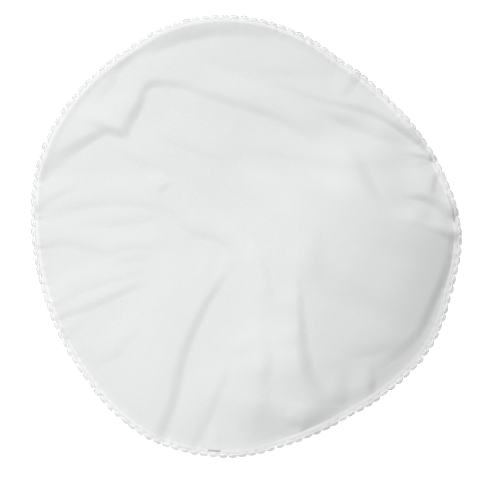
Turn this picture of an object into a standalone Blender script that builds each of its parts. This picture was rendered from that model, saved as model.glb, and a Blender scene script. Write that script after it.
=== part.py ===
"""Round head veil with a lace edge, laid out flat.

A soft cloth disc lies on a table, and its folds stand a few millimetres high. A narrow
binding closes the cloth's rim, and a lace edging of small fans is sewn to the binding.

Metres, +Z up. The origin lies on the table, under the middle of the veil's outline box.
Tables are in millimetres and degrees; bearings run anticlockwise from +X.
"""

from collections import namedtuple
from math import cos, pi, radians, sin

import bmesh
import bpy
import numpy as np

MM = 0.001

# Walls and gaps
CLOTH_WALL = 1.0 * MM
BINDING_WALL = 1.4 * MM
LACE_WALL = 1.0 * MM
SEAM_GAP = 0.3 * MM

# Outline: the cloth's rim lies inside the mean line of the lace, and the other edges are
# offsets outwards from the cloth's rim
RIM_CENTRE = (-7.0 * MM, -1.0 * MM)
CLOTH_INSET = 9.1 * MM
BINDING_WIDTH = 3.9 * MM
BINDING_INNER = SEAM_GAP
BINDING_OUTER = BINDING_INNER + BINDING_WIDTH
LACE_INNER = BINDING_OUTER + SEAM_GAP
LACE_HEADING = 2.1 * MM
FAN_NOTCH = LACE_INNER + LACE_HEADING
FAN_DEPTH = 3.7 * MM
FAN_TIP = FAN_NOTCH + FAN_DEPTH
FAN_COUNT = 138
FAN_EDGES = 6
RIM_SAMPLES = 3601
CREASE_ANGLE = 40.0

# The hem stands off the table a little, most along the far edge; the fans' tips hang back
# down by this share of its height
HEM_LIFT = 0.5 * MM
FAR_LIFT = 0.9 * MM
FAR_BEARING = 102.0
HEM_WIDTH = 11.0 * MM
FAN_DROOP = 0.3

# Below this height the cloth lies flat on the table
FLAT_BELOW = 0.15 * MM

# Mesh densities
SHEET_CELLS = 150
SHEET_KEPT = 0.058
ROUTE_STEP = 3.0 * MM

# How a point finds its place beside a route, and where a fold's steep side is steepest
NEAR = 2.5 * MM
SHARPNESS = 8
STEEPEST = 0.577

Rim = namedtuple("Rim", "bearing radius")
RIM = (
    Rim(0, 257), Rim(20, 247), Rim(40, 237.5), Rim(60, 238), Rim(70, 245), Rim(80, 252),
    Rim(95, 259), Rim(110, 260), Rim(120, 256), Rim(140, 254.5), Rim(160, 251), Rim(180, 242),
    Rim(200, 239), Rim(220, 243.5), Rim(235, 253), Rim(250, 258.5), Rim(270, 255.5),
    Rim(285, 247), Rim(300, 244.5), Rim(315, 250), Rim(330, 257), Rim(345, 255),
)

# A fold is a ridge with one steep side, whose middle line is the route; the steep side falls to
# the right hand, and the gentle side beyond the crest falls to the left. heights and steeps
# are read at even steps along the route. A fold fades in and out round its route's ends, over
# twice the sizes in ends; with 0 it runs off the rim.
Fold = namedtuple("Fold", "name heights steeps gentle ends route")
FOLDS = (
    # long folds that fan out from the middle towards the near edge
    Fold("near_left", (2.7, 3, 2.8, 2.2), (16, 15, 11), 95, (0, 34),
         ((-104, -239), (-85, -195), (-73, -141), (-51, -89), (-25, -47))),
    Fold("near_fork", (0.5, 0.8, 0.4), (12, 12), 25, (16, 16),
         ((-39, -60), (-40, -35), (-35, -20))),
    Fold("near_short", (1, 1.5, 0.9), (14, 11), 40, (0, 26),
         ((-62, -247), (-45, -214), (-28, -172), (-22, -152))),
    Fold("near_middle", (3.6, 3.8, 3.2, 1.8, 0.5), (46, 24, 17, 12), 60, (0, 30),
         ((28, -240), (24, -205), (22, -172), (26, -144), (20, -112), (10, -88))),
    Fold("near_cross", (0.2, 1.2, 0.4), (14, 14), 20, (15, 10),
         ((36, -208), (50, -216), (72, -221))),
    Fold("near_right", (4.6, 5.8, 6, 4, 2.2, 0.8), (30, 26, 20, 13, 9), 60, (0, 24),
         ((108, -216), (94, -196), (81, -176), (72, -156), (67, -128), (64, -88), (62, -51))),
    Fold("near_slope", (0.8, 1.6, 1), (18, 18), 30, (12, 12),
         ((88, -190), (107, -191), (124, -186))),
    # folds at the middle
    Fold("middle_stem", (0.8, 1.9, 1.9, 1), (11, 11), 25, (19, 19),
         ((34, -80), (27, -52), (19, -28), (9, -12), (2, -3))),
    Fold("middle_ridge", (0.5, 1.8, 2, 1.6, 0.7), (24, 22), 28, (21, 21),
         ((84, -63), (86, -30), (82, 1), (63, 36), (34, 65), (0, 79))),
    Fold("middle_turn", (0.7, 1.1, 1.1, 0.6), (12, 12), 30, (22, 22),
         ((-82, 24), (-68, 8), (-51, 1), (-30, -6), (-8, -20))),
    Fold("small_dent", (0.6, 1.2, 0.4), (9, 9), 20, (7, 7),
         ((-101, 49), (-94, 57), (-87, 60))),
    # the bent fold across the far half
    Fold("far_leg", (3.8, 3.8, 2.4, 1.8, 1.2), (18, 12, 12), 50, (7, 24),
         ((-141, 117), (-136, 130), (-124, 152), (-118, 169), (-106, 177), (-75, 175),
          (-55, 167))),
    Fold("far_long", (0.8, 2, 2, 1.6, 0.7), (12, 14, 14), 30, (22, 22),
         ((-60, 169), (-23, 157), (30, 140), (74, 117), (92, 112))),
    Fold("far_pleat", (2.6, 3.2, 2.2), (21, 12), 60, (0, 12),
         ((-221, 86), (-207, 97), (-177, 115), (-163, 120))),
    Fold("pleat_foot", (0.8, 1.2, 0.6), (15, 15), 40, (26, 26),
         ((-152, 100), (-123, 86), (-86, 73))),
    Fold("far_floor", (0.5, 0.8, 0.4), (13, 13), 30, (22, 22),
         ((-106, 115), (-85, 110), (-57, 99), (-25, 88))),
    Fold("far_branch", (0.5, 1.5, 1.2), (14, 12), 30, (16, 14),
         ((-179, 150), (-157, 177), (-147, 195), (-128, 210))),
    Fold("far_rim", (1.6, 2.4, 2.4, 2, 1.4, 0.8), (15, 12), 16, (16, 14),
         ((-117, 213), (-92, 223), (-69, 231), (-40, 236), (-8, 237), (28, 232))),
    Fold("far_faint", (0.5, 0.9, 0.5), (13, 13), 30, (22, 22),
         ((12, 191), (45, 191), (82, 186))),
    # close folds that run into the left edge
    Fold("left_1", (1.1, 0.9, 0.5), (10, 10), 20, (0, 17),
         ((-243, 29), (-225, 44), (-196, 57))),
    Fold("left_2", (0.5, 1.1, 1.1, 0.6), (14, 12), 30, (0, 22),
         ((-232, 23), (-179, 37), (-123, 37), (-86, 27))),
    Fold("left_3", (0.4, 0.8, 0.6), (12, 12), 25, (19, 19),
         ((-196, 14), (-137, 15), (-106, 23))),
    Fold("left_4", (1.1, 1, 0.9), (13, 13), 30, (0, 22),
         ((-245, -15), (-213, -8), (-185, -14), (-160, -20))),
    Fold("left_5", (0.7, 0.8, 0.5), (12, 12), 25, (19, 19),
         ((-158, -19), (-137, -13), (-99, -13))),
    Fold("left_6", (0.5, 0.8, 0.5), (11, 11), 25, (19, 19),
         ((-160, -34), (-141, -28), (-112, -26))),
    Fold("left_7", (0.9, 1.1, 0.8), (12, 12), 25, (0, 19),
         ((-217, -78), (-193, -65), (-150, -50), (-122, -43))),
    Fold("left_8", (1, 1.2, 1), (11, 11), 22, (0, 18),
         ((-211, -93), (-171, -79), (-137, -63), (-122, -56))),
    Fold("left_9", (0.6, 0.9, 0.5), (12, 12), 25, (19, 19),
         ((-172, -147), (-151, -139), (-141, -125), (-127, -110))),
    # close folds that run into the far right edge
    Fold("right_1", (0.6, 1.2, 2.2, 5, 6), (9, 12), 30, (20, 0),
         ((41, 174), (91, 157), (143, 144), (177, 125), (207, 103), (222, 88))),
    Fold("right_2", (1.6, 2.8, 2.6, 1.4), (15, 18), 35, (24, 0),
         ((84, 145), (121, 130), (157, 116), (184, 110))),
    Fold("right_tuck", (1.2, 1.2), (11, 11), 20, (10, 0),
         ((114, 163), (121, 172), (130, 184))),
    Fold("right_4", (0.6, 2.6, 4), (8, 9), 28, (10, 0),
         ((182, 96), (199, 93), (226, 87))),
    Fold("right_5", (0.2, 1.4), (9, 9), 16, (10, 0),
         ((190, 80), (216, 86))),
    Fold("right_upright", (0.6, 2, 1), (9, 8), 60, (8, 8),
         ((217, 44), (218, 60), (222, 76))),
    Fold("right_shoulder", (1.6, 3.2, 3.4, 1.8), (20, 18), 45, (20, 24),
         ((200, 29), (175, 28), (152, 44), (136, 74), (119, 108))),
    Fold("right_crease", (1, 5, 9.4), (8, 22), 66, (10, 0),
         ((183, 46), (205, 43), (220, 36), (234, 28), (254, 20))),
    Fold("right_wedge", (0.8, 2.4, 5, 6.4), (10, 17), 70, (14, 0),
         ((180, 17), (204, 11), (228, 4), (254, -6))),
    # the roll along the right edge, and what runs into it
    Fold("edge_shoulder", (0, 2.2, 3, 2.4), (62, 62), 90, (30, 24),
         ((158, -122), (182, -96), (203, -57), (212, -24), (214, 10))),
    Fold("edge_roll", (0.8, 1.6, 2.6, 3, 3), (14, 14), 80, (18, 8),
         ((150, -154), (171, -141), (200, -113), (218, -75), (235, -35), (243, 6))),
    Fold("edge_fold", (1.6, 2.4, 0.8), (14, 12), 25, (0, 10),
         ((151, -202), (147, -180), (147, -165), (144, -148))),
    Fold("edge_cross", (0.8, 1.2, 0.8), (18, 18), 40, (14, 14),
         ((119, -137), (146, -134), (184, -125))),
)

# The cloth's right side stands off the table in one broad, low swell: it is round on the left of
# its crest, and on the right it falls all the way to the rim.
SWELL_HEIGHTS = (0.0, 6.0, 9.0, 10.0, 12.0, 12.0, 7.0, 0.0)
SWELL_ROUTE = ((56, -252), (68, -200), (74, -130), (90, -60), (120, 0), (148, 50), (150, 90),
               (138, 140))
SWELL_GENTLE = 150 * MM
SWELL_POWER = 1.8
SWELL_SHARPNESS = 3

# name, colour, roughness
CLOTH_LOOK = ("veil_cloth", (0.80, 0.81, 0.80), 0.85)
BINDING_LOOK = ("rim_binding", (0.88, 0.88, 0.88), 0.60)
LACE_LOOK = ("lace_edging", (0.86, 0.86, 0.86), 0.70)


def clear_scene():
    for thing in list(bpy.data.objects):
        bpy.data.objects.remove(thing, do_unlink=True)


def rim_radius(bearing):
    """Radius of the lace's mean line, by a smooth closed curve through the RIM rows."""
    angles = np.array([row.bearing for row in RIM], float)
    radii = np.array([row.radius for row in RIM], float) * MM
    around_angles = np.concatenate((angles[-2:] - 360, angles, angles[:3] + 360))
    around_radii = np.concatenate((radii[-2:], radii, radii[:3]))
    slopes = (around_radii[2:] - around_radii[:-2]) / (around_angles[2:] - around_angles[:-2])
    turned = np.mod(bearing, 360)
    left = np.searchsorted(angles, turned, side="right") + 1
    span = around_angles[left + 1] - around_angles[left]
    t = (turned - around_angles[left]) / span
    return (
        (2 * t**3 - 3 * t**2 + 1) * around_radii[left]
        + (t**3 - 2 * t**2 + t) * span * slopes[left - 1]
        + (3 * t**2 - 2 * t**3) * around_radii[left + 1]
        + (t**3 - t**2) * span * slopes[left]
    )


def rim_point(bearing, offset):
    """Place on the table at a bearing, offset outwards from the cloth's rim."""
    reach = rim_radius(bearing) - CLOTH_INSET + offset
    turn = np.radians(bearing)
    return RIM_CENTRE[0] + reach * np.cos(turn), RIM_CENTRE[1] + reach * np.sin(turn)


def rim_inset(x, y):
    """Bearing of the points x, y, and how far inside the cloth's rim they lie."""
    from_x, from_y = x - RIM_CENTRE[0], y - RIM_CENTRE[1]
    bearing = np.degrees(np.arctan2(from_y, from_x))
    return bearing, rim_radius(bearing) - CLOTH_INSET - np.hypot(from_x, from_y)


def smooth_route(points):
    """Samples of a Catmull-Rom curve through a fold's points, its unit tangents, and the length
    run to each sample."""
    knots = np.array(points, float) * MM
    knots = np.vstack((2 * knots[0] - knots[1], knots, 2 * knots[-1] - knots[-2]))
    samples = []
    for a, b, c, d in zip(knots, knots[1:], knots[2:], knots[3:]):
        count = max(2, int(np.linalg.norm(c - b) / ROUTE_STEP))
        for t in np.arange(count) / count:
            samples.append(0.5 * (2 * b + (c - a) * t + (2 * a - 5 * b + 4 * c - d) * t**2
                                  + (3 * b - a - 3 * c + d) * t**3))
    samples.append(knots[-2])
    samples = np.array(samples)
    tangents = np.gradient(samples, axis=0)
    tangents /= np.linalg.norm(tangents, axis=1)[:, None]
    steps = np.linalg.norm(np.diff(samples, axis=0), axis=1)
    return samples, tangents, np.concatenate(([0], np.cumsum(steps)))


def beside_route(points, x, y, sharpness=SHARPNESS):
    """For each point: its place along a route as a share of the route's length, how far it
    lies to the right hand, and how far past the route's start and short of its end. Samples
    about as near as the nearest one share the answer, so nothing jumps inside a bend."""
    samples, tangents, run = smooth_route(points)
    away_x = x[:, None] - samples[None, :, 0]
    away_y = y[:, None] - samples[None, :, 1]
    squared = away_x**2 + away_y**2 + NEAR**2
    weight = (squared.min(axis=1, keepdims=True) / squared) ** sharpness
    weight /= weight.sum(axis=1, keepdims=True)
    ahead = away_x * tangents[:, 0] + away_y * tangents[:, 1]
    aside = away_x * tangents[:, 1] - away_y * tangents[:, 0]
    along = (weight * (run + ahead)).sum(axis=1)
    share = np.clip(along / run[-1], 0, 1)
    return share, (weight * aside).sum(axis=1), along, run[-1] - along


def smooth_step(t):
    t = np.clip(t, 0, 1)
    return t * t * (3 - 2 * t)


def faded(distance, length):
    """1 well inside a fold's end, easing to 0 beyond it; 1 throughout for no length."""
    return smooth_step(distance / (2 * length * MM) + 0.5) if length else 1.0


def read_along(values, share):
    """Values given at even steps along a route, read smoothly at a share of its length."""
    values = np.array(values, float) * MM
    place = share * (len(values) - 1)
    low = np.minimum(place.astype(int), len(values) - 2)
    return values[low] + (values[low + 1] - values[low]) * smooth_step(place - low)


def bell(distance, width):
    """1 at distance 0, easing to 0 at the width."""
    return (1 - np.clip(np.abs(distance) / width, 0, 1) ** 2) ** 2


def near_route(fold, x, y):
    """Which of the points lie in the box of a fold's route, grown by its sides."""
    points = np.array(fold.route) * MM
    reach = (fold.gentle + max(fold.steeps)) * MM
    low, high = points.min(axis=0) - reach, points.max(axis=0) + reach
    return (x > low[0]) & (x < high[0]) & (y > low[1]) & (y < high[1])


def fold_height(fold, x, y):
    """Height that one fold adds at the points x, y."""
    near = near_route(fold, x, y)
    added = np.zeros_like(x)
    share, aside, started, left = beside_route(fold.route, x[near], y[near])
    steep = read_along(fold.steeps, share)
    past_crest = aside + STEEPEST * steep
    profile = bell(past_crest, np.where(past_crest > 0, steep, fold.gentle * MM))
    profile *= faded(started, fold.ends[0]) * faded(left, fold.ends[1])
    added[near] = read_along(fold.heights, share) * profile
    return added


def swell_height(x, y):
    """Height of the broad swell at the points x, y."""
    share, aside = beside_route(SWELL_ROUTE, x, y, SWELL_SHARPNESS)[:2]
    inset = np.clip(rim_inset(x, y)[1], 0, None)
    right = 1 - np.clip(aside / (np.abs(aside) + inset + NEAR), 0, 1) ** SWELL_POWER
    left = bell(np.minimum(aside, 0), SWELL_GENTLE)
    return read_along(SWELL_HEIGHTS, share) * right * left


def underside(x, y):
    """Height of the cloth's underside over the table."""
    bearing, inset = rim_inset(x, y)
    lift = HEM_LIFT + FAR_LIFT * np.clip(np.cos(np.radians(bearing - FAR_BEARING)), 0, 1) ** 2
    total = lift * (1 - np.clip(inset / HEM_WIDTH, 0, 1)) ** 2
    total += swell_height(x, y)
    for fold in FOLDS:
        total += fold_height(fold, x, y)
    return total


def link_mesh(name, bm):
    bmesh.ops.recalc_face_normals(bm, faces=bm.faces)
    mesh = bpy.data.meshes.new(name)
    bm.to_mesh(mesh)
    bm.free()
    thing = bpy.data.objects.new(name, mesh)
    bpy.context.scene.collection.objects.link(thing)
    return thing


def give_look(thing, look):
    name, colour, roughness = look
    material = bpy.data.materials.new(name)
    material.use_nodes = True
    shader = material.node_tree.nodes["Principled BSDF"]
    shader.inputs["Base Color"].default_value = (*colour, 1)
    shader.inputs["Roughness"].default_value = roughness
    shader.inputs["Metallic"].default_value = 0
    thing.data.materials.append(material)
    thing.data.shade_smooth()
    thing.data.set_sharp_from_angle(angle=radians(CREASE_ANGLE))


def place_sheet_verts(bm):
    """Square grid to round cloth: the square is pressed out to a disc, then to the rim."""
    square = np.array([vert.co[:2] for vert in bm.verts])
    disc_x = square[:, 0] * np.sqrt(1 - square[:, 1] ** 2 / 2)
    disc_y = square[:, 1] * np.sqrt(1 - square[:, 0] ** 2 / 2)
    bearing = np.degrees(np.arctan2(disc_y, disc_x))
    reach = rim_radius(bearing) - CLOTH_INSET
    x, y = RIM_CENTRE[0] + disc_x * reach, RIM_CENTRE[1] + disc_y * reach
    z = underside(x, y)
    for vert, place in zip(bm.verts, zip(x, y, z)):
        vert.co = place


def make_cloth():
    bm = bmesh.new()
    bmesh.ops.create_grid(bm, x_segments=SHEET_CELLS, y_segments=SHEET_CELLS, size=1)
    place_sheet_verts(bm)
    fine = link_mesh("fine_sheet", bm)
    fewer = fine.modifiers.new("fewer_faces", "DECIMATE")
    fewer.ratio = SHEET_KEPT
    fewer.use_collapse_triangulate = True
    bpy.context.view_layer.update()
    sheet = bpy.data.meshes.new_from_object(fine.evaluated_get(bpy.context.evaluated_depsgraph_get()))
    bpy.data.objects.remove(fine, do_unlink=True)

    bm = bmesh.new()
    bm.from_mesh(sheet)
    bpy.data.meshes.remove(sheet)
    for vert in bm.verts:
        if vert.co.z < FLAT_BELOW:
            vert.co.z = 0
    wall = bmesh.ops.extrude_face_region(bm, geom=list(bm.faces), use_keep_orig=True)
    top = [item for item in wall["geom"] if isinstance(item, bmesh.types.BMVert)]
    bmesh.ops.translate(bm, verts=top, vec=(0, 0, CLOTH_WALL))
    cloth = link_mesh("veil_cloth", bm)
    give_look(cloth, CLOTH_LOOK)
    return cloth


def fan_bearings():
    """Bearings of the notches between fans, evenly spaced along the edge."""
    fine = np.linspace(0, 360, RIM_SAMPLES)
    x, y = rim_point(fine, FAN_NOTCH)
    run = np.concatenate(([0], np.cumsum(np.hypot(np.diff(x), np.diff(y)))))
    return np.interp(np.arange(FAN_COUNT + 1) * run[-1] / FAN_COUNT, run, fine)


def make_binding():
    """A flat strip round the cloth's rim."""
    bm = bmesh.new()
    bearings = fan_bearings()[:-1]
    held = underside(*rim_point(bearings, 0))
    rails = []
    for offset, lift in ((BINDING_INNER, 0), (BINDING_OUTER, 0),
                         (BINDING_OUTER, BINDING_WALL), (BINDING_INNER, BINDING_WALL)):
        x, y = rim_point(bearings, offset)
        rails.append([bm.verts.new(place) for place in zip(x, y, held + lift)])
    for rail, other in zip(rails, rails[1:] + rails[:1]):
        for i in range(FAN_COUNT):
            j = (i + 1) % FAN_COUNT
            bm.faces.new((rail[i], rail[j], other[j], other[i]))
    binding = link_mesh("rim_binding", bm)
    give_look(binding, BINDING_LOOK)
    return binding


def make_lace():
    """A heading along the binding, and a row of round fans that droop towards the table."""
    bm = bmesh.new()
    notches = fan_bearings()
    inner, outer = [], []
    for start, end in zip(notches, notches[1:]):
        inner.append((start, LACE_INNER))
        for step in range(FAN_EDGES):
            turn = pi * step / FAN_EDGES
            bearing = start + (end - start) * (1 - cos(turn)) / 2
            outer.append((bearing, FAN_NOTCH + FAN_DEPTH * sin(turn)))

    def make_rail(stations, lift):
        bearings = np.array([bearing for bearing, _ in stations])
        offsets = np.array([offset for _, offset in stations])
        x, y = rim_point(bearings, offsets)
        droop = 1 - FAN_DROOP * (offsets - LACE_INNER) / (FAN_TIP - LACE_INNER)
        held = underside(*rim_point(bearings, 0)) * droop
        return [bm.verts.new(place) for place in zip(x, y, held + lift)]

    low_inner, high_inner = make_rail(inner, 0), make_rail(inner, LACE_WALL)
    low_outer, high_outer = make_rail(outer, 0), make_rail(outer, LACE_WALL)
    for i in range(FAN_COUNT):
        j = (i + 1) % FAN_COUNT
        edge = [(i * FAN_EDGES + k) % len(outer) for k in range(FAN_EDGES + 1)]
        for ring_inner, ring_outer in ((low_inner, low_outer), (high_inner, high_outer)):
            bm.faces.new([ring_outer[k] for k in edge] + [ring_inner[j], ring_inner[i]])
        bm.faces.new((low_inner[i], low_inner[j], high_inner[j], high_inner[i]))
        for k, m in zip(edge, edge[1:]):
            bm.faces.new((low_outer[k], low_outer[m], high_outer[m], high_outer[k]))
    bmesh.ops.triangulate(bm, faces=bm.faces)
    lace = link_mesh("lace_edging", bm)
    give_look(lace, LACE_LOOK)
    return lace


def main():
    clear_scene()
    make_cloth()
    make_binding()
    make_lace()


main()
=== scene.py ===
"""Dresses the round head veil: crepe cloth with its soft folds, a binding folded over its
rim, and a row of lace fans sewn to the binding.

Tables are in millimetres and degrees; bearings run anticlockwise from +X.
"""

from collections import namedtuple
from math import cos, pi, radians, sin

import bmesh
import bpy
import numpy as np
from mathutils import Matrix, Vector


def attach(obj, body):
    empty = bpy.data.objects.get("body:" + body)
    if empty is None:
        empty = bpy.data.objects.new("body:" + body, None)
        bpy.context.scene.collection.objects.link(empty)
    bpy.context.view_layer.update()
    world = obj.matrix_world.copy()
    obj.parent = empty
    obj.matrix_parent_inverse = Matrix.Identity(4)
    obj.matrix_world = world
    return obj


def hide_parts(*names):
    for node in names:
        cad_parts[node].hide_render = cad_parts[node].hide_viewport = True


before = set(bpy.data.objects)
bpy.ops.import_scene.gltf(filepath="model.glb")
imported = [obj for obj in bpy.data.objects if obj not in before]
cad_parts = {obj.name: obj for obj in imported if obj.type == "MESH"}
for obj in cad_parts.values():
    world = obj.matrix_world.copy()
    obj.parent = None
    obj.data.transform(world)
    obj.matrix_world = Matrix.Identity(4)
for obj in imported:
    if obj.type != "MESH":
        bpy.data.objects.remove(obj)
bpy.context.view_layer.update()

MM = 0.001

# ---------------------------------------------------------------- the veil's own sizes
# Outline: the cloth's rim lies inside the mean line of the lace, and the other edges are
# offsets outwards from the cloth's rim
RIM_CENTRE = (-7.0 * MM, -1.0 * MM)
CLOTH_INSET = 9.1 * MM
BINDING_INNER = 0.3 * MM
BINDING_OUTER = 4.2 * MM
LACE_INNER = 4.5 * MM
FAN_NOTCH = 6.6 * MM
FAN_TIP = 10.3 * MM
FAN_COUNT = 138

# Lift of the hem off the table, most along the far edge; the fans' tips hang back down by
# this share of it
HEM_LIFT = 0.5 * MM
FAR_LIFT = 0.9 * MM
FAR_BEARING = 102.0
HEM_WIDTH = 11.0 * MM
FAN_DROOP = 0.3

# Walls
CLOTH_THICK = 0.65 * MM
BINDING_HEIGHT = 0.95 * MM
BINDING_STRIP = 0.35 * MM
LACE_MIDDLE = 0.55 * MM
LACE_FLATTEN = 0.75

# The binding's upper layer is a little round, its inner edge is pressed into the cloth, and
# it falls towards its fold
BINDING_PUFF = 0.04 * MM
BINDING_PRESS = 0.14 * MM
BINDING_FALL = 0.11 * MM

# The cloth's edge runs on inside the folded binding
TUCK = 3.0 * MM
TUCK_RISE = 0.15 * MM
TUCK_WIDTH = 8.0 * MM
TUCK_FALL = 0.02

# The threads of one fan follow half ellipses over its middle, drawn between two angles. The
# zigzag steps between its two arcs and the heading's teeth between their two heights. A petal
# is thin at its ends and thick at its middle. The heading's threads that run right round have
# an offset and a radius each.
Arc = namedtuple("Arc", "half_width rise foot start end count")
OUTER_ARC = Arc(4.85, 2.65, 2.2, 0, 180, 15)
INNER_ARC = Arc(3.3, 1.7, 2.0, -8, 188, 11)
ZIGZAG_ARCS = (Arc(4.4, 2.6, 2.2, 14, 166, 11), Arc(3.5, 1.9, 2.0, 14, 166, 11))
PETAL_ARC = Arc(2.4, 0.8, 1.7, 0, 180, 9)
ARC_THREAD = 0.6
ZIGZAG_THREAD = 0.5
PETAL_END = 0.4
PETAL_SWELL = 0.75
TEETH_THREAD = 0.48
TEETH_HEIGHTS = (0.1, 1.3)
TEETH_STEPS = 6
ROUND_THREADS = ((0.15, 0.38), (1.35, 0.32))

# How much the fans differ: their lean, depth and curl vary round a common slant
FAN_LEAN = 0.35 * MM
FAN_SLANT = 0.25 * MM
FAN_VARIES = 0.05
FAN_CURL = 0.25 * MM

# The shares of the outer arc's size from and over which a fan's colour changes to the painted shade
# along its outer edge
SHADE_EDGE_START = 0.97
SHADE_EDGE_SHARE = 0.10

# Mesh densities
CLOTH_CELLS = 214
BINDING_CELLS = 1104
# Cells across the binding: where they end on its upper face, as shares of that face's width,
# and how many turn its fold; the lower face is like the upper one
BINDING_FACE_ENDS = np.array((0, 0.08, 0.5, 0.92, 1))
BINDING_FOLD_CELLS = 7
BINDING_AROUND = 2 * len(BINDING_FACE_ENDS) - 2 + BINDING_FOLD_CELLS
SHARP_ANGLE = 60
RIM_SAMPLES = 3601
ROUTE_STEP = 3.0 * MM
WELD = 0.002 * MM

# How a point finds its place beside a route, and where a fold's steep side is steepest
NEAR = 2.5 * MM
SHARPNESS = 8
STEEPEST = 0.577

Rim = namedtuple("Rim", "bearing radius")
RIM = (
    Rim(0, 257), Rim(20, 247), Rim(40, 237.5), Rim(60, 238), Rim(70, 245), Rim(80, 252),
    Rim(95, 259), Rim(110, 260), Rim(120, 256), Rim(140, 254.5), Rim(160, 251), Rim(180, 242),
    Rim(200, 239), Rim(220, 243.5), Rim(235, 253), Rim(250, 258.5), Rim(270, 255.5),
    Rim(285, 247), Rim(300, 244.5), Rim(315, 250), Rim(330, 257), Rim(345, 255),
)

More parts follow.
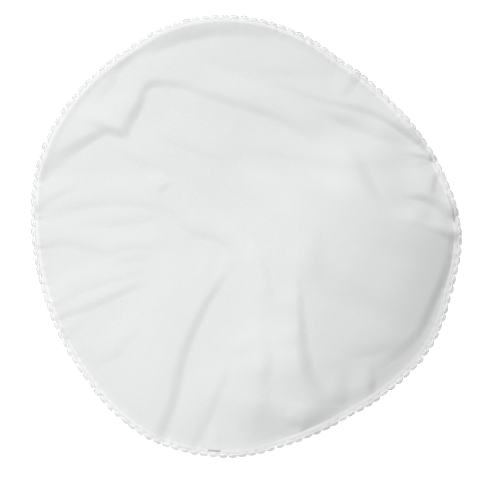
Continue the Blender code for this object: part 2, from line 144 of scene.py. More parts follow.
# A fold is a ridge with one steep side, whose middle line is the route; the steep side falls to
# the right hand, and the gentle side beyond the crest falls to the left. heights and steeps
# are read at even steps along the route. A fold fades in and out round its route's ends, over
# twice the sizes in ends; with 0 it runs off the rim.
Fold = namedtuple("Fold", "name heights steeps gentle ends route")
FOLDS = (
    # long folds that fan out from the middle towards the near edge
    Fold("near_left", (2.7, 3, 2.8, 2.2), (16, 15, 11), 95, (0, 34),
         ((-104, -239), (-85, -195), (-73, -141), (-51, -89), (-25, -47))),
    Fold("near_fork", (0.5, 0.8, 0.4), (12, 12), 25, (16, 16),
         ((-39, -60), (-40, -35), (-35, -20))),
    Fold("near_short", (1, 1.5, 0.9), (14, 11), 40, (0, 26),
         ((-62, -247), (-45, -214), (-28, -172), (-22, -152))),
    Fold("near_middle", (3.6, 3.8, 3.2, 1.8, 0.5), (46, 24, 17, 12), 60, (0, 30),
         ((28, -240), (24, -205), (22, -172), (26, -144), (20, -112), (10, -88))),
    Fold("near_cross", (0.2, 1.2, 0.4), (14, 14), 20, (15, 10),
         ((36, -208), (50, -216), (72, -221))),
    Fold("near_right", (4.6, 5.8, 6, 4, 2.2, 0.8), (30, 26, 20, 13, 9), 60, (0, 24),
         ((108, -216), (94, -196), (81, -176), (72, -156), (67, -128), (64, -88), (62, -51))),
    Fold("near_slope", (0.8, 1.6, 1), (18, 18), 30, (12, 12),
         ((88, -190), (107, -191), (124, -186))),
    # folds at the middle
    Fold("middle_stem", (0.8, 1.9, 1.9, 1), (11, 11), 25, (19, 19),
         ((34, -80), (27, -52), (19, -28), (9, -12), (2, -3))),
    Fold("middle_ridge", (0.5, 1.8, 2, 1.6, 0.7), (24, 22), 28, (21, 21),
         ((84, -63), (86, -30), (82, 1), (63, 36), (34, 65), (0, 79))),
    Fold("middle_turn", (0.7, 1.1, 1.1, 0.6), (12, 12), 30, (22, 22),
         ((-82, 24), (-68, 8), (-51, 1), (-30, -6), (-8, -20))),
    Fold("small_dent", (0.6, 1.2, 0.4), (9, 9), 20, (7, 7),
         ((-101, 49), (-94, 57), (-87, 60))),
    # the bent fold across the far half
    Fold("far_leg", (3.8, 3.8, 2.4, 1.8, 1.2), (18, 12, 12), 50, (7, 24),
         ((-141, 117), (-136, 130), (-124, 152), (-118, 169), (-106, 177), (-75, 175),
          (-55, 167))),
    Fold("far_long", (0.8, 2, 2, 1.6, 0.7), (12, 14, 14), 30, (22, 22),
         ((-60, 169), (-23, 157), (30, 140), (74, 117), (92, 112))),
    Fold("far_pleat", (2.6, 3.2, 2.2), (21, 12), 60, (0, 12),
         ((-221, 86), (-207, 97), (-177, 115), (-163, 120))),
    Fold("pleat_foot", (0.8, 1.2, 0.6), (15, 15), 40, (26, 26),
         ((-152, 100), (-123, 86), (-86, 73))),
    Fold("far_floor", (0.5, 0.8, 0.4), (13, 13), 30, (22, 22),
         ((-106, 115), (-85, 110), (-57, 99), (-25, 88))),
    Fold("far_branch", (0.5, 1.5, 1.2), (14, 12), 30, (16, 14),
         ((-179, 150), (-157, 177), (-147, 195), (-128, 210))),
    Fold("far_rim", (1.6, 2.4, 2.4, 2, 1.4, 0.8), (15, 12), 16, (16, 14),
         ((-117, 213), (-92, 223), (-69, 231), (-40, 236), (-8, 237), (28, 232))),
    Fold("far_faint", (0.5, 0.9, 0.5), (13, 13), 30, (22, 22),
         ((12, 191), (45, 191), (82, 186))),
    # close folds that run into the left edge
    Fold("left_1", (1.1, 0.9, 0.5), (10, 10), 20, (0, 17),
         ((-243, 29), (-225, 44), (-196, 57))),
    Fold("left_2", (0.5, 1.1, 1.1, 0.6), (14, 12), 30, (0, 22),
         ((-232, 23), (-179, 37), (-123, 37), (-86, 27))),
    Fold("left_3", (0.4, 0.8, 0.6), (12, 12), 25, (19, 19),
         ((-196, 14), (-137, 15), (-106, 23))),
    Fold("left_4", (1.1, 1, 0.9), (13, 13), 30, (0, 22),
         ((-245, -15), (-213, -8), (-185, -14), (-160, -20))),
    Fold("left_5", (0.7, 0.8, 0.5), (12, 12), 25, (19, 19),
         ((-158, -19), (-137, -13), (-99, -13))),
    Fold("left_6", (0.5, 0.8, 0.5), (11, 11), 25, (19, 19),
         ((-160, -34), (-141, -28), (-112, -26))),
    Fold("left_7", (0.9, 1.1, 0.8), (12, 12), 25, (0, 19),
         ((-217, -78), (-193, -65), (-150, -50), (-122, -43))),
    Fold("left_8", (1, 1.2, 1), (11, 11), 22, (0, 18),
         ((-211, -93), (-171, -79), (-137, -63), (-122, -56))),
    Fold("left_9", (0.6, 0.9, 0.5), (12, 12), 25, (19, 19),
         ((-172, -147), (-151, -139), (-141, -125), (-127, -110))),
    # close folds that run into the far right edge
    Fold("right_1", (0.6, 1.2, 2.2, 5, 6), (9, 12), 30, (20, 0),
         ((41, 174), (91, 157), (143, 144), (177, 125), (207, 103), (222, 88))),
    Fold("right_2", (1.6, 2.8, 2.6, 1.4), (15, 18), 35, (24, 0),
         ((84, 145), (121, 130), (157, 116), (184, 110))),
    Fold("right_tuck", (1.2, 1.2), (11, 11), 20, (10, 0),
         ((114, 163), (121, 172), (130, 184))),
    Fold("right_4", (0.6, 2.6, 4), (8, 9), 28, (10, 0),
         ((182, 96), (199, 93), (226, 87))),
    Fold("right_5", (0.2, 1.4), (9, 9), 16, (10, 0),
         ((190, 80), (216, 86))),
    Fold("right_upright", (0.6, 2, 1), (9, 8), 60, (8, 8),
         ((217, 44), (218, 60), (222, 76))),
    Fold("right_shoulder", (1.6, 3.2, 3.4, 1.8), (20, 18), 45, (20, 24),
         ((200, 29), (175, 28), (152, 44), (136, 74), (119, 108))),
    Fold("right_crease", (1, 5, 9.4), (8, 22), 66, (10, 0),
         ((183, 46), (205, 43), (220, 36), (234, 28), (254, 20))),
    Fold("right_wedge", (0.8, 2.4, 5, 6.4), (10, 17), 70, (14, 0),
         ((180, 17), (204, 11), (228, 4), (254, -6))),
    # the roll along the right edge, and what runs into it
    Fold("edge_shoulder", (0, 2.2, 3, 2.4), (62, 62), 90, (30, 24),
         ((158, -122), (182, -96), (203, -57), (212, -24), (214, 10))),
    Fold("edge_roll", (0.8, 1.6, 2.6, 3, 3), (14, 14), 80, (18, 8),
         ((150, -154), (171, -141), (200, -113), (218, -75), (235, -35), (243, 6))),
    Fold("edge_fold", (1.6, 2.4, 0.8), (14, 12), 25, (0, 10),
         ((151, -202), (147, -180), (147, -165), (144, -148))),
    Fold("edge_cross", (0.8, 1.2, 0.8), (18, 18), 40, (14, 14),
         ((119, -137), (146, -134), (184, -125))),
)

# The cloth's right side stands off the table in one broad, low swell: it is round on the left of
# its crest, and on the right it falls all the way to the rim.
SWELL_HEIGHTS = (0.0, 6.0, 9.0, 10.0, 12.0, 12.0, 7.0, 0.0)
SWELL_ROUTE = ((56, -252), (68, -200), (74, -130), (90, -60), (120, 0), (148, 50), (150, 90),
               (138, 140))
SWELL_GENTLE = 150 * MM
SWELL_POWER = 1.8
SWELL_SHARPNESS = 3

# Folds too faint for the solids, laid over them
FAINT_FOLDS = (
    Fold("faint_near", (0.5, 0.5, 0.3), (8, 8), 14, (0, 9),
         ((-31, -242), (-31, -236), (-27, -218))),
    Fold("faint_left", (0.5, 0.3), (8, 8), 14, (0, 11),
         ((-203, -114), (-190, -98), (-186, -90))),
    Fold("faint_far", (0.4, 0.3), (10, 10), 25, (16, 16),
         ((9, 98), (30, 96), (50, 92))),
)

# The crumple that any laid cloth keeps: waves of each size run in several directions
Wave = namedtuple("Wave", "length height")
CRUMPLE = (Wave(95, 0.22), Wave(52, 0.10), Wave(27, 0.04))
CRUMPLE_HEADINGS = 5

# Small gathers at the rim: their height, how far in they reach, and how many of each go round
PUCKER_HEIGHT = 0.08 * MM
PUCKER_WIDTH = 13.0 * MM
PUCKERS = (97, 131, 173)


def rim_radius(bearing):
    """Radius of the lace's mean line, by a smooth closed curve through the RIM rows."""
    angles = np.array([row.bearing for row in RIM], float)
    radii = np.array([row.radius for row in RIM], float) * MM
    around_angles = np.concatenate((angles[-2:] - 360, angles, angles[:3] + 360))
    around_radii = np.concatenate((radii[-2:], radii, radii[:3]))
    slopes = (around_radii[2:] - around_radii[:-2]) / (around_angles[2:] - around_angles[:-2])
    turned = np.mod(bearing, 360)
    left = np.searchsorted(angles, turned, side="right") + 1
    span = around_angles[left + 1] - around_angles[left]
    t = (turned - around_angles[left]) / span
    return (
        (2 * t**3 - 3 * t**2 + 1) * around_radii[left]
        + (t**3 - 2 * t**2 + t) * span * slopes[left - 1]
        + (3 * t**2 - 2 * t**3) * around_radii[left + 1]
        + (t**3 - t**2) * span * slopes[left]
    )


def rim_point(bearing, offset):
    """Place on the table at a bearing, offset outwards from the cloth's rim."""
    reach = rim_radius(bearing) - CLOTH_INSET + offset
    turn = np.radians(bearing)
    return RIM_CENTRE[0] + reach * np.cos(turn), RIM_CENTRE[1] + reach * np.sin(turn)


def rim_inset(x, y):
    """Bearing of the points x, y, and how far inside the cloth's rim they lie."""
    from_x, from_y = x - RIM_CENTRE[0], y - RIM_CENTRE[1]
    bearing = np.degrees(np.arctan2(from_y, from_x))
    return bearing, rim_radius(bearing) - CLOTH_INSET - np.hypot(from_x, from_y)


def smooth_route(points):
    """Samples of a Catmull-Rom curve through a fold's points, its unit tangents, and the length
    run to each sample."""
    knots = np.array(points, float) * MM
    knots = np.vstack((2 * knots[0] - knots[1], knots, 2 * knots[-1] - knots[-2]))
    samples = []
    for a, b, c, d in zip(knots, knots[1:], knots[2:], knots[3:]):
        count = max(2, int(np.linalg.norm(c - b) / ROUTE_STEP))
        for t in np.arange(count) / count:
            samples.append(0.5 * (2 * b + (c - a) * t + (2 * a - 5 * b + 4 * c - d) * t**2
                                  + (3 * b - a - 3 * c + d) * t**3))
    samples.append(knots[-2])
    samples = np.array(samples)
    tangents = np.gradient(samples, axis=0)
    tangents /= np.linalg.norm(tangents, axis=1)[:, None]
    steps = np.linalg.norm(np.diff(samples, axis=0), axis=1)
    return samples, tangents, np.concatenate(([0], np.cumsum(steps)))


def beside_route(points, x, y, sharpness=SHARPNESS):
    """For each point: its place along a route as a share of the route's length, how far it
    lies to the right hand, and how far past the route's start and short of its end. Samples
    about as near as the nearest one share the answer, so nothing jumps inside a bend."""
    samples, tangents, run = smooth_route(points)
    away_x = x[:, None] - samples[None, :, 0]
    away_y = y[:, None] - samples[None, :, 1]
    squared = away_x**2 + away_y**2 + NEAR**2
    weight = (squared.min(axis=1, keepdims=True) / squared) ** sharpness
    weight /= weight.sum(axis=1, keepdims=True)
    ahead = away_x * tangents[:, 0] + away_y * tangents[:, 1]
    aside = away_x * tangents[:, 1] - away_y * tangents[:, 0]
    along = (weight * (run + ahead)).sum(axis=1)
    share = np.clip(along / run[-1], 0, 1)
    return share, (weight * aside).sum(axis=1), along, run[-1] - along


def smooth_step(t):
    t = np.clip(t, 0, 1)
    return t * t * (3 - 2 * t)


def faded(distance, length):
    """1 well inside a fold's end, easing to 0 beyond it; 1 throughout for no length."""
    return smooth_step(distance / (2 * length * MM) + 0.5) if length else 1.0


def read_along(values, share):
    """Values given at even steps along a route, read smoothly at a share of its length."""
    values = np.array(values, float) * MM
    place = share * (len(values) - 1)
    low = np.minimum(place.astype(int), len(values) - 2)
    return values[low] + (values[low + 1] - values[low]) * smooth_step(place - low)


def bell(distance, width):
    """1 at distance 0, easing to 0 at the width."""
    return (1 - np.clip(np.abs(distance) / width, 0, 1) ** 2) ** 2


def near_route(fold, x, y):
    """Which of the points lie in the box of a fold's route, grown by its sides."""
    points = np.array(fold.route) * MM
    reach = (fold.gentle + max(fold.steeps)) * MM
    low, high = points.min(axis=0) - reach, points.max(axis=0) + reach
    return (x > low[0]) & (x < high[0]) & (y > low[1]) & (y < high[1])


def fold_height(fold, x, y):
    """Height that one fold adds at the points x, y."""
    near = near_route(fold, x, y)
    added = np.zeros_like(x)
    share, aside, started, left = beside_route(fold.route, x[near], y[near])
    steep = read_along(fold.steeps, share)
    past_crest = aside + STEEPEST * steep
    profile = bell(past_crest, np.where(past_crest > 0, steep, fold.gentle * MM))
    profile *= faded(started, fold.ends[0]) * faded(left, fold.ends[1])
    added[near] = read_along(fold.heights, share) * profile
    return added


def swell_height(x, y):
    """Height of the broad swell at the points x, y."""
    share, aside = beside_route(SWELL_ROUTE, x, y, SWELL_SHARPNESS)[:2]
    inset = np.clip(rim_inset(x, y)[1], 0, None)
    right = 1 - np.clip(aside / (np.abs(aside) + inset + NEAR), 0, 1) ** SWELL_POWER
    left = bell(np.minimum(aside, 0), SWELL_GENTLE)
    return read_along(SWELL_HEIGHTS, share) * right * left


def underside(x, y):
    """Height of the cloth's underside over the table, as in the solids."""
    bearing, inset = rim_inset(x, y)
    lift = HEM_LIFT + FAR_LIFT * np.clip(np.cos(np.radians(bearing - FAR_BEARING)), 0, 1) ** 2
    total = lift * (1 - np.clip(inset / HEM_WIDTH, 0, 1)) ** 2
    total += swell_height(x, y)
    for fold in FOLDS:
        total += fold_height(fold, x, y)
    return total


def rim_pucker(bearing):
    """Small gathers that the binding's seam draws into the cloth's rim."""
    turn = np.radians(bearing)
    return PUCKER_HEIGHT * sum(np.sin(count * turn + count) for count in PUCKERS)


def crumple(x, y):
    """Low waves in all directions, never below the table."""
    draw = np.random.default_rng(5)
    total = np.zeros_like(x)
    for wave in CRUMPLE:
        for heading, phase in draw.uniform(0, 2 * pi, (CRUMPLE_HEADINGS, 2)):
            run = (x * cos(heading) + y * sin(heading)) / (wave.length * MM)
            total += wave.height * MM / CRUMPLE_HEADINGS * (1 + np.sin(2 * pi * run + phase))
    return total


def cloth_top(x, y):
    """Height of the cloth's upper face."""
    bearing, inset = rim_inset(x, y)
    rim_share = 1 - np.clip(inset / PUCKER_WIDTH, 0, 1)
    tuck_share = 1 - np.clip(inset / TUCK_WIDTH, 0, 1)
    total = underside(x, y) + CLOTH_THICK + crumple(x, y) * smooth_step(inset / PUCKER_WIDTH)
    total += rim_pucker(bearing) * rim_share**2 + TUCK_RISE * tuck_share**2
    total += TUCK_FALL * np.minimum(inset, 0)
    for fold in FAINT_FOLDS:
        total += fold_height(fold, x, y)
    return total


# ---------------------------------------------------------------- making meshes
def link_mesh(name, mesh):
    thing = bpy.data.objects.new(name, mesh)
    bpy.context.scene.collection.objects.link(thing)
    return thing


def mesh_from(name, bm):
    bmesh.ops.recalc_face_normals(bm, faces=bm.faces)
    mesh = bpy.data.meshes.new(name)
    bm.to_mesh(mesh)
    bm.free()
    mesh.shade_smooth()
    return mesh


def move_verts(bm, places):
    for vert, place in zip(bm.verts, places):
        vert.co = place


def evaluated_mesh(thing):
    """The thing's mesh with its modifiers or bevel applied; the thing itself is removed."""
    graph = bpy.context.evaluated_depsgraph_get()
    mesh = bpy.data.meshes.new_from_object(thing.evaluated_get(graph))
    bpy.data.objects.remove(thing, do_unlink=True)
    return mesh


def fan_notches():
    """Bearings of the notches between fans, evenly spaced along the edge, and their pitch."""
    fine = np.linspace(0, 360, RIM_SAMPLES)
    x, y = rim_point(fine, FAN_NOTCH)
    run = np.concatenate(([0], np.cumsum(np.hypot(np.diff(x), np.diff(y)))))
    pitch = run[-1] / FAN_COUNT
    return np.interp(np.arange(FAN_COUNT + 1) * pitch, run, fine), pitch


NOTCHES, FAN_PITCH = fan_notches()


def bearing_at(run):
    """Bearing at a length along the edge, measured at the fans' notches."""
    return np.interp(np.mod(run / FAN_PITCH, FAN_COUNT), np.arange(FAN_COUNT + 1), NOTCHES)


def rim_height(bearing):
    return underside(*rim_point(bearing, 0.0)) + rim_pucker(bearing)


# ---------------------------------------------------------------- the pieces
def make_cloth():
    """A square grid pressed out to a disc and on to the rim, and given its folds and wall."""
    bm = bmesh.new()
    bmesh.ops.create_grid(bm, x_segments=CLOTH_CELLS, y_segments=CLOTH_CELLS, size=1)
    square = np.array([vert.co[:2] for vert in bm.verts])
    disc_x = square[:, 0] * np.sqrt(1 - square[:, 1] ** 2 / 2)
    disc_y = square[:, 1] * np.sqrt(1 - square[:, 0] ** 2 / 2)
    bearing = np.degrees(np.arctan2(disc_y, disc_x))
    reach = rim_radius(bearing) - CLOTH_INSET + TUCK
    x, y = RIM_CENTRE[0] + disc_x * reach, RIM_CENTRE[1] + disc_y * reach
    move_verts(bm, zip(x, y, cloth_top(x, y)))
    cloth = link_mesh("crepe_cloth", mesh_from("crepe_cloth", bm))
    wall = cloth.modifiers.new("wall", "SOLIDIFY")
    wall.thickness = CLOTH_THICK
    wall.offset = -1
    return cloth


def binding_section(share):
    """Offset and height of the folded strip at a share of its cells from its upper inner edge,
    out over its upper face, round the fold and back."""
    bend = (BINDING_HEIGHT - BINDING_STRIP) / 2
    flange = BINDING_OUTER - BINDING_STRIP / 2 - bend - BINDING_INNER
    upper = BINDING_FACE_ENDS * flange
    ends = np.concatenate((upper, 2 * flange + pi * bend - upper[::-1]))
    cells = np.arange(len(upper))
    cells = np.concatenate((cells, BINDING_AROUND - cells[::-1]))
    path = np.interp(share * BINDING_AROUND, cells, ends)
    turn = np.clip((path - flange) / bend, 0, pi)
    back = np.clip(path - flange - pi * bend, 0, flange)
    across = np.clip(path / flange, 0, 1)
    shape = BINDING_PUFF * np.sin(pi * across) - BINDING_PRESS * (1 - across) ** 2
    shape = (shape - BINDING_FALL * across) * (1 + np.cos(turn)) / 2
    offset = BINDING_INNER + np.clip(path, 0, flange) + bend * np.sin(turn) - back
    return offset, BINDING_HEIGHT / 2 + bend * np.cos(turn) + shape


def make_binding():
    """A strip folded over the cloth's rim: a grid bent to a C in section, and to a ring."""
    bm = bmesh.new()
    bm.loops.layers.uv.new("along_rim")
    bmesh.ops.create_grid(
        bm, x_segments=BINDING_CELLS, y_segments=BINDING_AROUND, size=0.5, calc_uvs=True)
    flat = np.array([vert.co[:2] for vert in bm.verts]) + 0.5
    bearing = bearing_at(flat[:, 0] * FAN_PITCH * FAN_COUNT)
    offset, height = binding_section(flat[:, 1])
    x, y = rim_point(bearing, offset)
    move_verts(bm, zip(x, y, rim_height(bearing) + height))
    bmesh.ops.remove_doubles(bm, verts=bm.verts, dist=WELD)
    strip = link_mesh("binding_strip", mesh_from("binding_strip", bm))
    wall = strip.modifiers.new("wall", "SOLIDIFY")
    wall.thickness = BINDING_STRIP
    wall.offset = 0
    mesh = evaluated_mesh(strip)
    mesh.set_sharp_from_angle(angle=radians(SHARP_ANGLE))
    return link_mesh("folded_binding", mesh)


def thread(curve, points, radii):
    """One thread in a flat curve: its points in millimetres, and its radius at each."""
    spline = curve.splines.new("POLY")
    spline.points.add(len(points) - 1)
    for knot, (along, out), radius in zip(spline.points, points, radii):
        knot.co = (along * MM, out * MM, 0, 1)
        knot.radius = radius


def thread_mesh(curve):
    """The threads of a flat curve as one welded mesh."""
    curve.dimensions = "3D"
    curve.bevel_depth = MM
    curve.bevel_resolution = 1
    curve.use_fill_caps = True
    bm = bmesh.new()
    bm.from_mesh(evaluated_mesh(link_mesh(curve.name, curve)))
    bmesh.ops.remove_doubles(bm, verts=bm.verts, dist=WELD)
    return mesh_from(curve.name, bm)


def arc_points(arc):
    """Points on an upright half ellipse over the point (0, foot), between two angles."""
    turns = np.linspace(radians(arc.start), radians(arc.end), arc.count)
    return [(-arc.half_width * cos(turn), arc.foot + arc.rise * sin(turn)) for turn in turns]


def fan_curve():
    """The threads of one fan: an outer and an inner arc, the zigzag between them, a full
    petal at its foot and the zigzag of the heading."""
    curve = bpy.data.curves.new("fan", "CURVE")
    for arc in (OUTER_ARC, INNER_ARC):
        thread(curve, arc_points(arc), [ARC_THREAD] * arc.count)
    sides = [arc_points(arc) for arc in ZIGZAG_ARCS]
    zigzag = [sides[i % 2][i] for i in range(len(sides[0]))]
    thread(curve, zigzag, [ZIGZAG_THREAD] * len(zigzag))
    swells = np.sin(np.linspace(0, pi, PETAL_ARC.count))
    thread(curve, arc_points(PETAL_ARC), PETAL_END + PETAL_SWELL * swells)
    pitch = FAN_PITCH / MM
    teeth = [(pitch * (i / TEETH_STEPS - 0.5), TEETH_HEIGHTS[i % 2]) for i in range(TEETH_STEPS + 1)]
    thread(curve, teeth, [TEETH_THREAD] * len(teeth))
    return curve


def edge_shade_mask(along, out):
    """Mask of the painted shade on a fan's outer edge: 1 on its outer side and 0 inside it, for
    points in millimetres from its middle.
    """
    rise = np.maximum(out - OUTER_ARC.foot, 0)
    reached = np.hypot(along / OUTER_ARC.half_width, rise / OUTER_ARC.rise)
    return smooth_step((reached - SHADE_EDGE_START) / SHADE_EDGE_SHARE)


def make_lace():
    """The fan repeated in a straight row, then bent round the rim with each fan a little
    different, and the threads that run right round."""
    fan = link_mesh("fan_row", thread_mesh(fan_curve()))
    row = fan.modifiers.new("row", "ARRAY")
    row.count = FAN_COUNT
    row.use_relative_offset = False
    row.use_constant_offset = True
    row.constant_offset_displace = (FAN_PITCH, 0, 0)
    per_fan = len(fan.data.vertices)
    bm = bmesh.new()
    bm.from_mesh(evaluated_mesh(fan))
    flat = np.array([vert.co for vert in bm.verts]).reshape(FAN_COUNT, per_fan, 3)
    along, out, up = np.moveaxis(flat, 2, 0)
    from_middle = along - np.arange(FAN_COUNT)[:, None] * FAN_PITCH
    edge_painted_shade = edge_shade_mask(from_middle / MM, out / MM).ravel()
    draw = np.random.default_rng(11)
    lean, reach, curl = draw.normal(0, 1, (3, FAN_COUNT, 1))
    share = np.clip(out / (FAN_TIP - LACE_INNER), 0, 1)
    along = along + share**2 * (FAN_LEAN * lean + FAN_SLANT)
    out = out * (1 + FAN_VARIES * share * reach)
    up = up * LACE_FLATTEN + share**2 * FAN_CURL * curl
    bearing = bearing_at(along + FAN_PITCH / 2).ravel()
    droop = (1 - FAN_DROOP * share).ravel()
    height = rim_height(bearing) * droop + LACE_MIDDLE + up.ravel()
    x, y = rim_point(bearing, LACE_INNER + out.ravel())
    move_verts(bm, zip(x, y, height))
    # Painted shade: how far each point lies on a fan's darkened outer edge
    layer = bm.verts.layers.float.new("edge_painted_shade")
    for vert, shade_at_edge in zip(bm.verts, edge_painted_shade):
        vert[layer] = shade_at_edge
    for offset, radius in ROUND_THREADS:
        add_ring_thread(bm, LACE_INNER + offset * MM, radius * MM)
    return link_mesh("fan_lace", mesh_from("fan_lace", bm))


def add_ring_thread(bm, offset, radius):
    """A thread right round the veil: a grid rolled to a tube, and the tube to a ring."""
    ring = bmesh.new()
    bmesh.ops.create_grid(ring, x_segments=BINDING_CELLS // 2, y_segments=6, size=0.5)
    flat = np.array([vert.co[:2] for vert in ring.verts]) + 0.5
    bearing = bearing_at(flat[:, 0] * FAN_PITCH * FAN_COUNT)
    turn = flat[:, 1] * 2 * pi
    share = (offset - LACE_INNER) / (FAN_TIP - LACE_INNER)
    height = rim_height(bearing) * (1 - FAN_DROOP * share) + LACE_MIDDLE + radius * np.sin(turn)
    x, y = rim_point(bearing, offset + radius * np.cos(turn))
    move_verts(ring, zip(x, y, height))
    bmesh.ops.remove_doubles(ring, verts=ring.verts, dist=WELD)
    mesh = mesh_from("ring_thread", ring)
    bm.from_mesh(mesh)
    bpy.data.meshes.remove(mesh)


# ---------------------------------------------------------------- finishes
# Colours run from the first to the second of a pair
CREPE_COLOURS = ((0.668, 0.679, 0.673), (0.766, 0.777, 0.771))
WEAVE_SIZE = 0.45 * MM
PEBBLE_SIZE = 2.0 * MM
RIPPLE_SIZE = 11.0 * MM
TONE_SIZE = 45.0 * MM

# The binding's first colour is painted shade along its inner edge, where it meets the cloth
BINDING_PAINTED_SHADE_COLOURS = ((0.750, 0.758, 0.753), (0.808, 0.814, 0.810))
RIB_SIZE = 0.6 * MM

LACE_COLOURS = ((0.77, 0.775, 0.772), (0.85, 0.855, 0.852))
# The dark colour is painted shade along the fans' outer edges
LACE_PAINTED_SHADE_COLOUR = (0.24, 0.25, 0.25)
TWIST_SIZE = 2.2 * MM
PATCH_SIZE = 9.0 * MM


class Value:
    """One socket of a material's nodes. Python's operators on it add Math nodes."""

    def __init__(self, tree, socket=None):
        self.tree, self.socket = tree, socket

    def node(self, kind, settings, inputs, output=0):
        """Any node: its settings first, then the values or links of its sockets."""
        made = self.tree.nodes.new(kind)
        for name, setting in settings.items():
            setattr(made, name, setting)
        for name, value in inputs.items():
            if isinstance(value, Value):
                self.tree.links.new(value.socket, made.inputs[name])
            else:
                made.inputs[name].default_value = value
        return Value(self.tree, made.outputs[output])

    def maths(self, operation, *values):
        return self.node("ShaderNodeMath", {"operation": operation}, dict(enumerate(values)))

    def __add__(self, other):
        return self.maths("ADD", self, other)

    def __sub__(self, other):
        return self.maths("SUBTRACT", self, other)

    def __rsub__(self, other):
        return self.maths("SUBTRACT", other, self)

    def __mul__(self, other):
        return self.maths("MULTIPLY", self, other)

    __radd__ = __add__
    __rmul__ = __mul__


def new_finish(name):
    """A material with an empty Principled shader, and its object coordinates."""
    material = bpy.data.materials.new(name)
    material.use_nodes = True
    tree = material.node_tree
    shader = tree.nodes["Principled BSDF"]
    shader.inputs["Metallic"].default_value = 0
    place = Value(tree).node("ShaderNodeTexCoord", {}, {}, "Object")
    return material, shader, place


def grain(place, size, detail=2.0):
    """Noise from 0 to 1 whose features are about the size given."""
    return place.node(
        "ShaderNodeTexNoise", {}, {"Vector": place, "Scale": 1 / size, "Detail": detail})


def blend_colours(share, low, high):
    low, high = (side if isinstance(side, Value) else (*side, 1) for side in (low, high))
    return share.node(
        "ShaderNodeMix", {"data_type": "RGBA"}, {"Factor": share, "A": low, "B": high}, "Result")


def wire(shader, colour, roughness, height):
    """Colour, roughness and a bump of the given height in millimetres, into the shader."""
    tree = shader.id_data
    bump = height.node("ShaderNodeBump", {}, {"Strength": 1.0, "Distance": MM, "Height": height})
    for name, value in (("Base Color", colour), ("Roughness", roughness), ("Normal", bump)):
        tree.links.new(value.socket, shader.inputs[name])


def crepe_finish():
    """Matt crepe: crossed threads, a pebbled face, and a slight unevenness of tone."""
    material, shader, place = new_finish("matt_crepe")
    split = {"Vector": place}
    x = place.node("ShaderNodeSeparateXYZ", {}, split, "X")
    y = place.node("ShaderNodeSeparateXYZ", {}, split, "Y")
    turns = 2 * pi / WEAVE_SIZE
    weave = (x * turns).maths("SINE", x * turns) * (y * turns).maths("SINE", y * turns)
    pebble = grain(place, PEBBLE_SIZE)
    ripple = grain(place, RIPPLE_SIZE)
    tone = grain(place, TONE_SIZE)
    colour = blend_colours(pebble * 0.75 + tone * 0.25, *CREPE_COLOURS)
    roughness = 0.82 + 0.10 * pebble
    wire(shader, colour, roughness, weave * 0.010 + pebble * 0.085 + ripple * 0.10)
    shader.inputs["Sheen Weight"].default_value = 0.12
    shader.inputs["Sheen Roughness"].default_value = 0.5
    return material


def binding_finish():
    """Smooth cotton strip: fine ribs across its length, and painted shade along its inner edge by the
    cloth, easing lighter towards its fold.
    """
    material, shader, place = new_finish("smooth_binding")
    coords = place.node("ShaderNodeUVMap", {"uv_map": "along_rim"}, {})
    run = coords.node("ShaderNodeSeparateXYZ", {}, {"Vector": coords}, "X")
    across = coords.node("ShaderNodeSeparateXYZ", {}, {"Vector": coords}, "Y")
    ribs = run.maths("SINE", run * (2 * pi * FAN_PITCH * FAN_COUNT / RIB_SIZE))
    fuzz = grain(place, 1.2 * MM)
    # Painted shade: darker along the inner edge by the cloth, lighter towards the fold
    share = across * 3.6 + (fuzz - 0.5) * 0.3
    colour = blend_colours(share, *BINDING_PAINTED_SHADE_COLOURS)
    wire(shader, colour, 0.62 + 0.12 * fuzz, ribs * 0.012 + fuzz * 0.05)
    return material


def lace_finish():
    """White cotton thread with a fine twist; the fans' outer sides carry painted shade, dark in
    patches.
    """
    material, shader, place = new_finish("cotton_lace")
    twist = place.node(
        "ShaderNodeTexWave", {"wave_type": "BANDS", "bands_direction": "DIAGONAL"},
        {"Vector": place, "Scale": 1 / TWIST_SIZE, "Distortion": 1.5, "Detail": 1.0}, "Fac")
    fuzz = grain(place, 1.6 * MM)
    patches = grain(place, PATCH_SIZE)
    shade_at_edge = place.node("ShaderNodeAttribute", {"attribute_name": "edge_painted_shade"}, {}, "Fac")
    threads = blend_colours(fuzz, *LACE_COLOURS)
    # Painted shade darkens the fans' outer edges, in patches
    colour = blend_colours(shade_at_edge * (patches * 2.4 - 0.5), threads, LACE_PAINTED_SHADE_COLOUR)
    wire(shader, colour, 0.70 + 0.12 * fuzz, twist * 0.03 + fuzz * 0.05)
    return material


def plain_finish(name, colour, roughness):
    material = bpy.data.materials.new(name)
    material.use_nodes = True
    shader = material.node_tree.nodes["Principled BSDF"]
    shader.inputs["Base Color"].default_value = (*colour, 1)
    shader.inputs["Roughness"].default_value = roughness
    return material


# ---------------------------------------------------------------- floor, light and camera
VIEW_WIDTH = 559.2 * MM
VIEW_CENTRE = (-7.0 * MM, -4.7 * MM)
CAMERA_HEIGHT = 1.6
SENSOR = 36.0

WORLD_STRENGTH = 0.115
FLOOR_GLOW = 0.55

Lamp = namedtuple("Lamp", "name place aim size watts")
LAMPS = (
    Lamp("key", (-0.79, 1.69, 2.22), (0, 0, 0), 0.93, 80.4),
    Lamp("overhead", (-0.15, -0.20, 0.60), (-0.15, -0.20, 0), 0.3, 1.25),
)


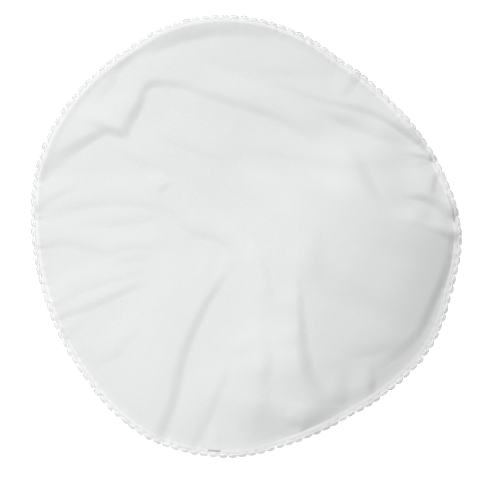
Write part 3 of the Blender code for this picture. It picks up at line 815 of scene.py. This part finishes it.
def make_floor():
    bm = bmesh.new()
    bmesh.ops.create_grid(bm, x_segments=1, y_segments=1, size=4)
    bmesh.ops.translate(bm, verts=bm.verts, vec=(0, 0, -0.1 * MM))
    floor = link_mesh("floor", mesh_from("floor", bm))
    material = plain_finish("pale_floor", (0.96, 0.96, 0.96), 0.9)
    shader = material.node_tree.nodes["Principled BSDF"]
    shader.inputs["Emission Color"].default_value = (1, 1, 1, 1)
    shader.inputs["Emission Strength"].default_value = FLOOR_GLOW
    floor.data.materials.append(material)


def make_lamp(lamp):
    light = bpy.data.lights.new(lamp.name, "AREA")
    light.shape = "SQUARE"
    light.size = lamp.size
    light.energy = lamp.watts
    thing = bpy.data.objects.new(lamp.name, light)
    thing.location = lamp.place
    thing.rotation_euler = (Vector(lamp.aim) - Vector(lamp.place)).to_track_quat("-Z", "Y").to_euler()
    thing.visible_camera = False
    bpy.context.scene.collection.objects.link(thing)


def make_camera():
    lens = bpy.data.cameras.new("above")
    lens.sensor_width = SENSOR
    lens.lens = SENSOR * CAMERA_HEIGHT / VIEW_WIDTH
    camera = bpy.data.objects.new("above", lens)
    camera.location = (*VIEW_CENTRE, CAMERA_HEIGHT)
    bpy.context.scene.collection.objects.link(camera)
    bpy.context.scene.camera = camera


def make_surroundings():
    world = bpy.data.worlds.new("pale_room")
    world.use_nodes = True
    sky = world.node_tree.nodes["Background"]
    sky.inputs["Color"].default_value = (1, 1, 1, 1)
    sky.inputs["Strength"].default_value = WORLD_STRENGTH
    bpy.context.scene.world = world
    bpy.context.scene.view_settings.view_transform = "Standard"


# ---------------------------------------------------------------- putting it together
cloth = make_cloth()
cloth.data.materials.append(crepe_finish())
binding = make_binding()
binding.data.materials.append(binding_finish())
lace = make_lace()
lace.data.materials.append(lace_finish())

for piece, node, slot in (
    (cloth, "veil_cloth", "cloth"),
    (binding, "rim_binding", "binding"),
    (lace, "lace_edging", "lace"),
):
    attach(piece, "root")
    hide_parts(node)

laid_radius = rim_radius(np.arange(360.0)) - CLOTH_INSET
float(pi * np.mean(laid_radius**2))

make_floor()
for lamp in LAMPS:
    make_lamp(lamp)
make_camera()
make_surroundings()

bpy.context.view_layer.update()
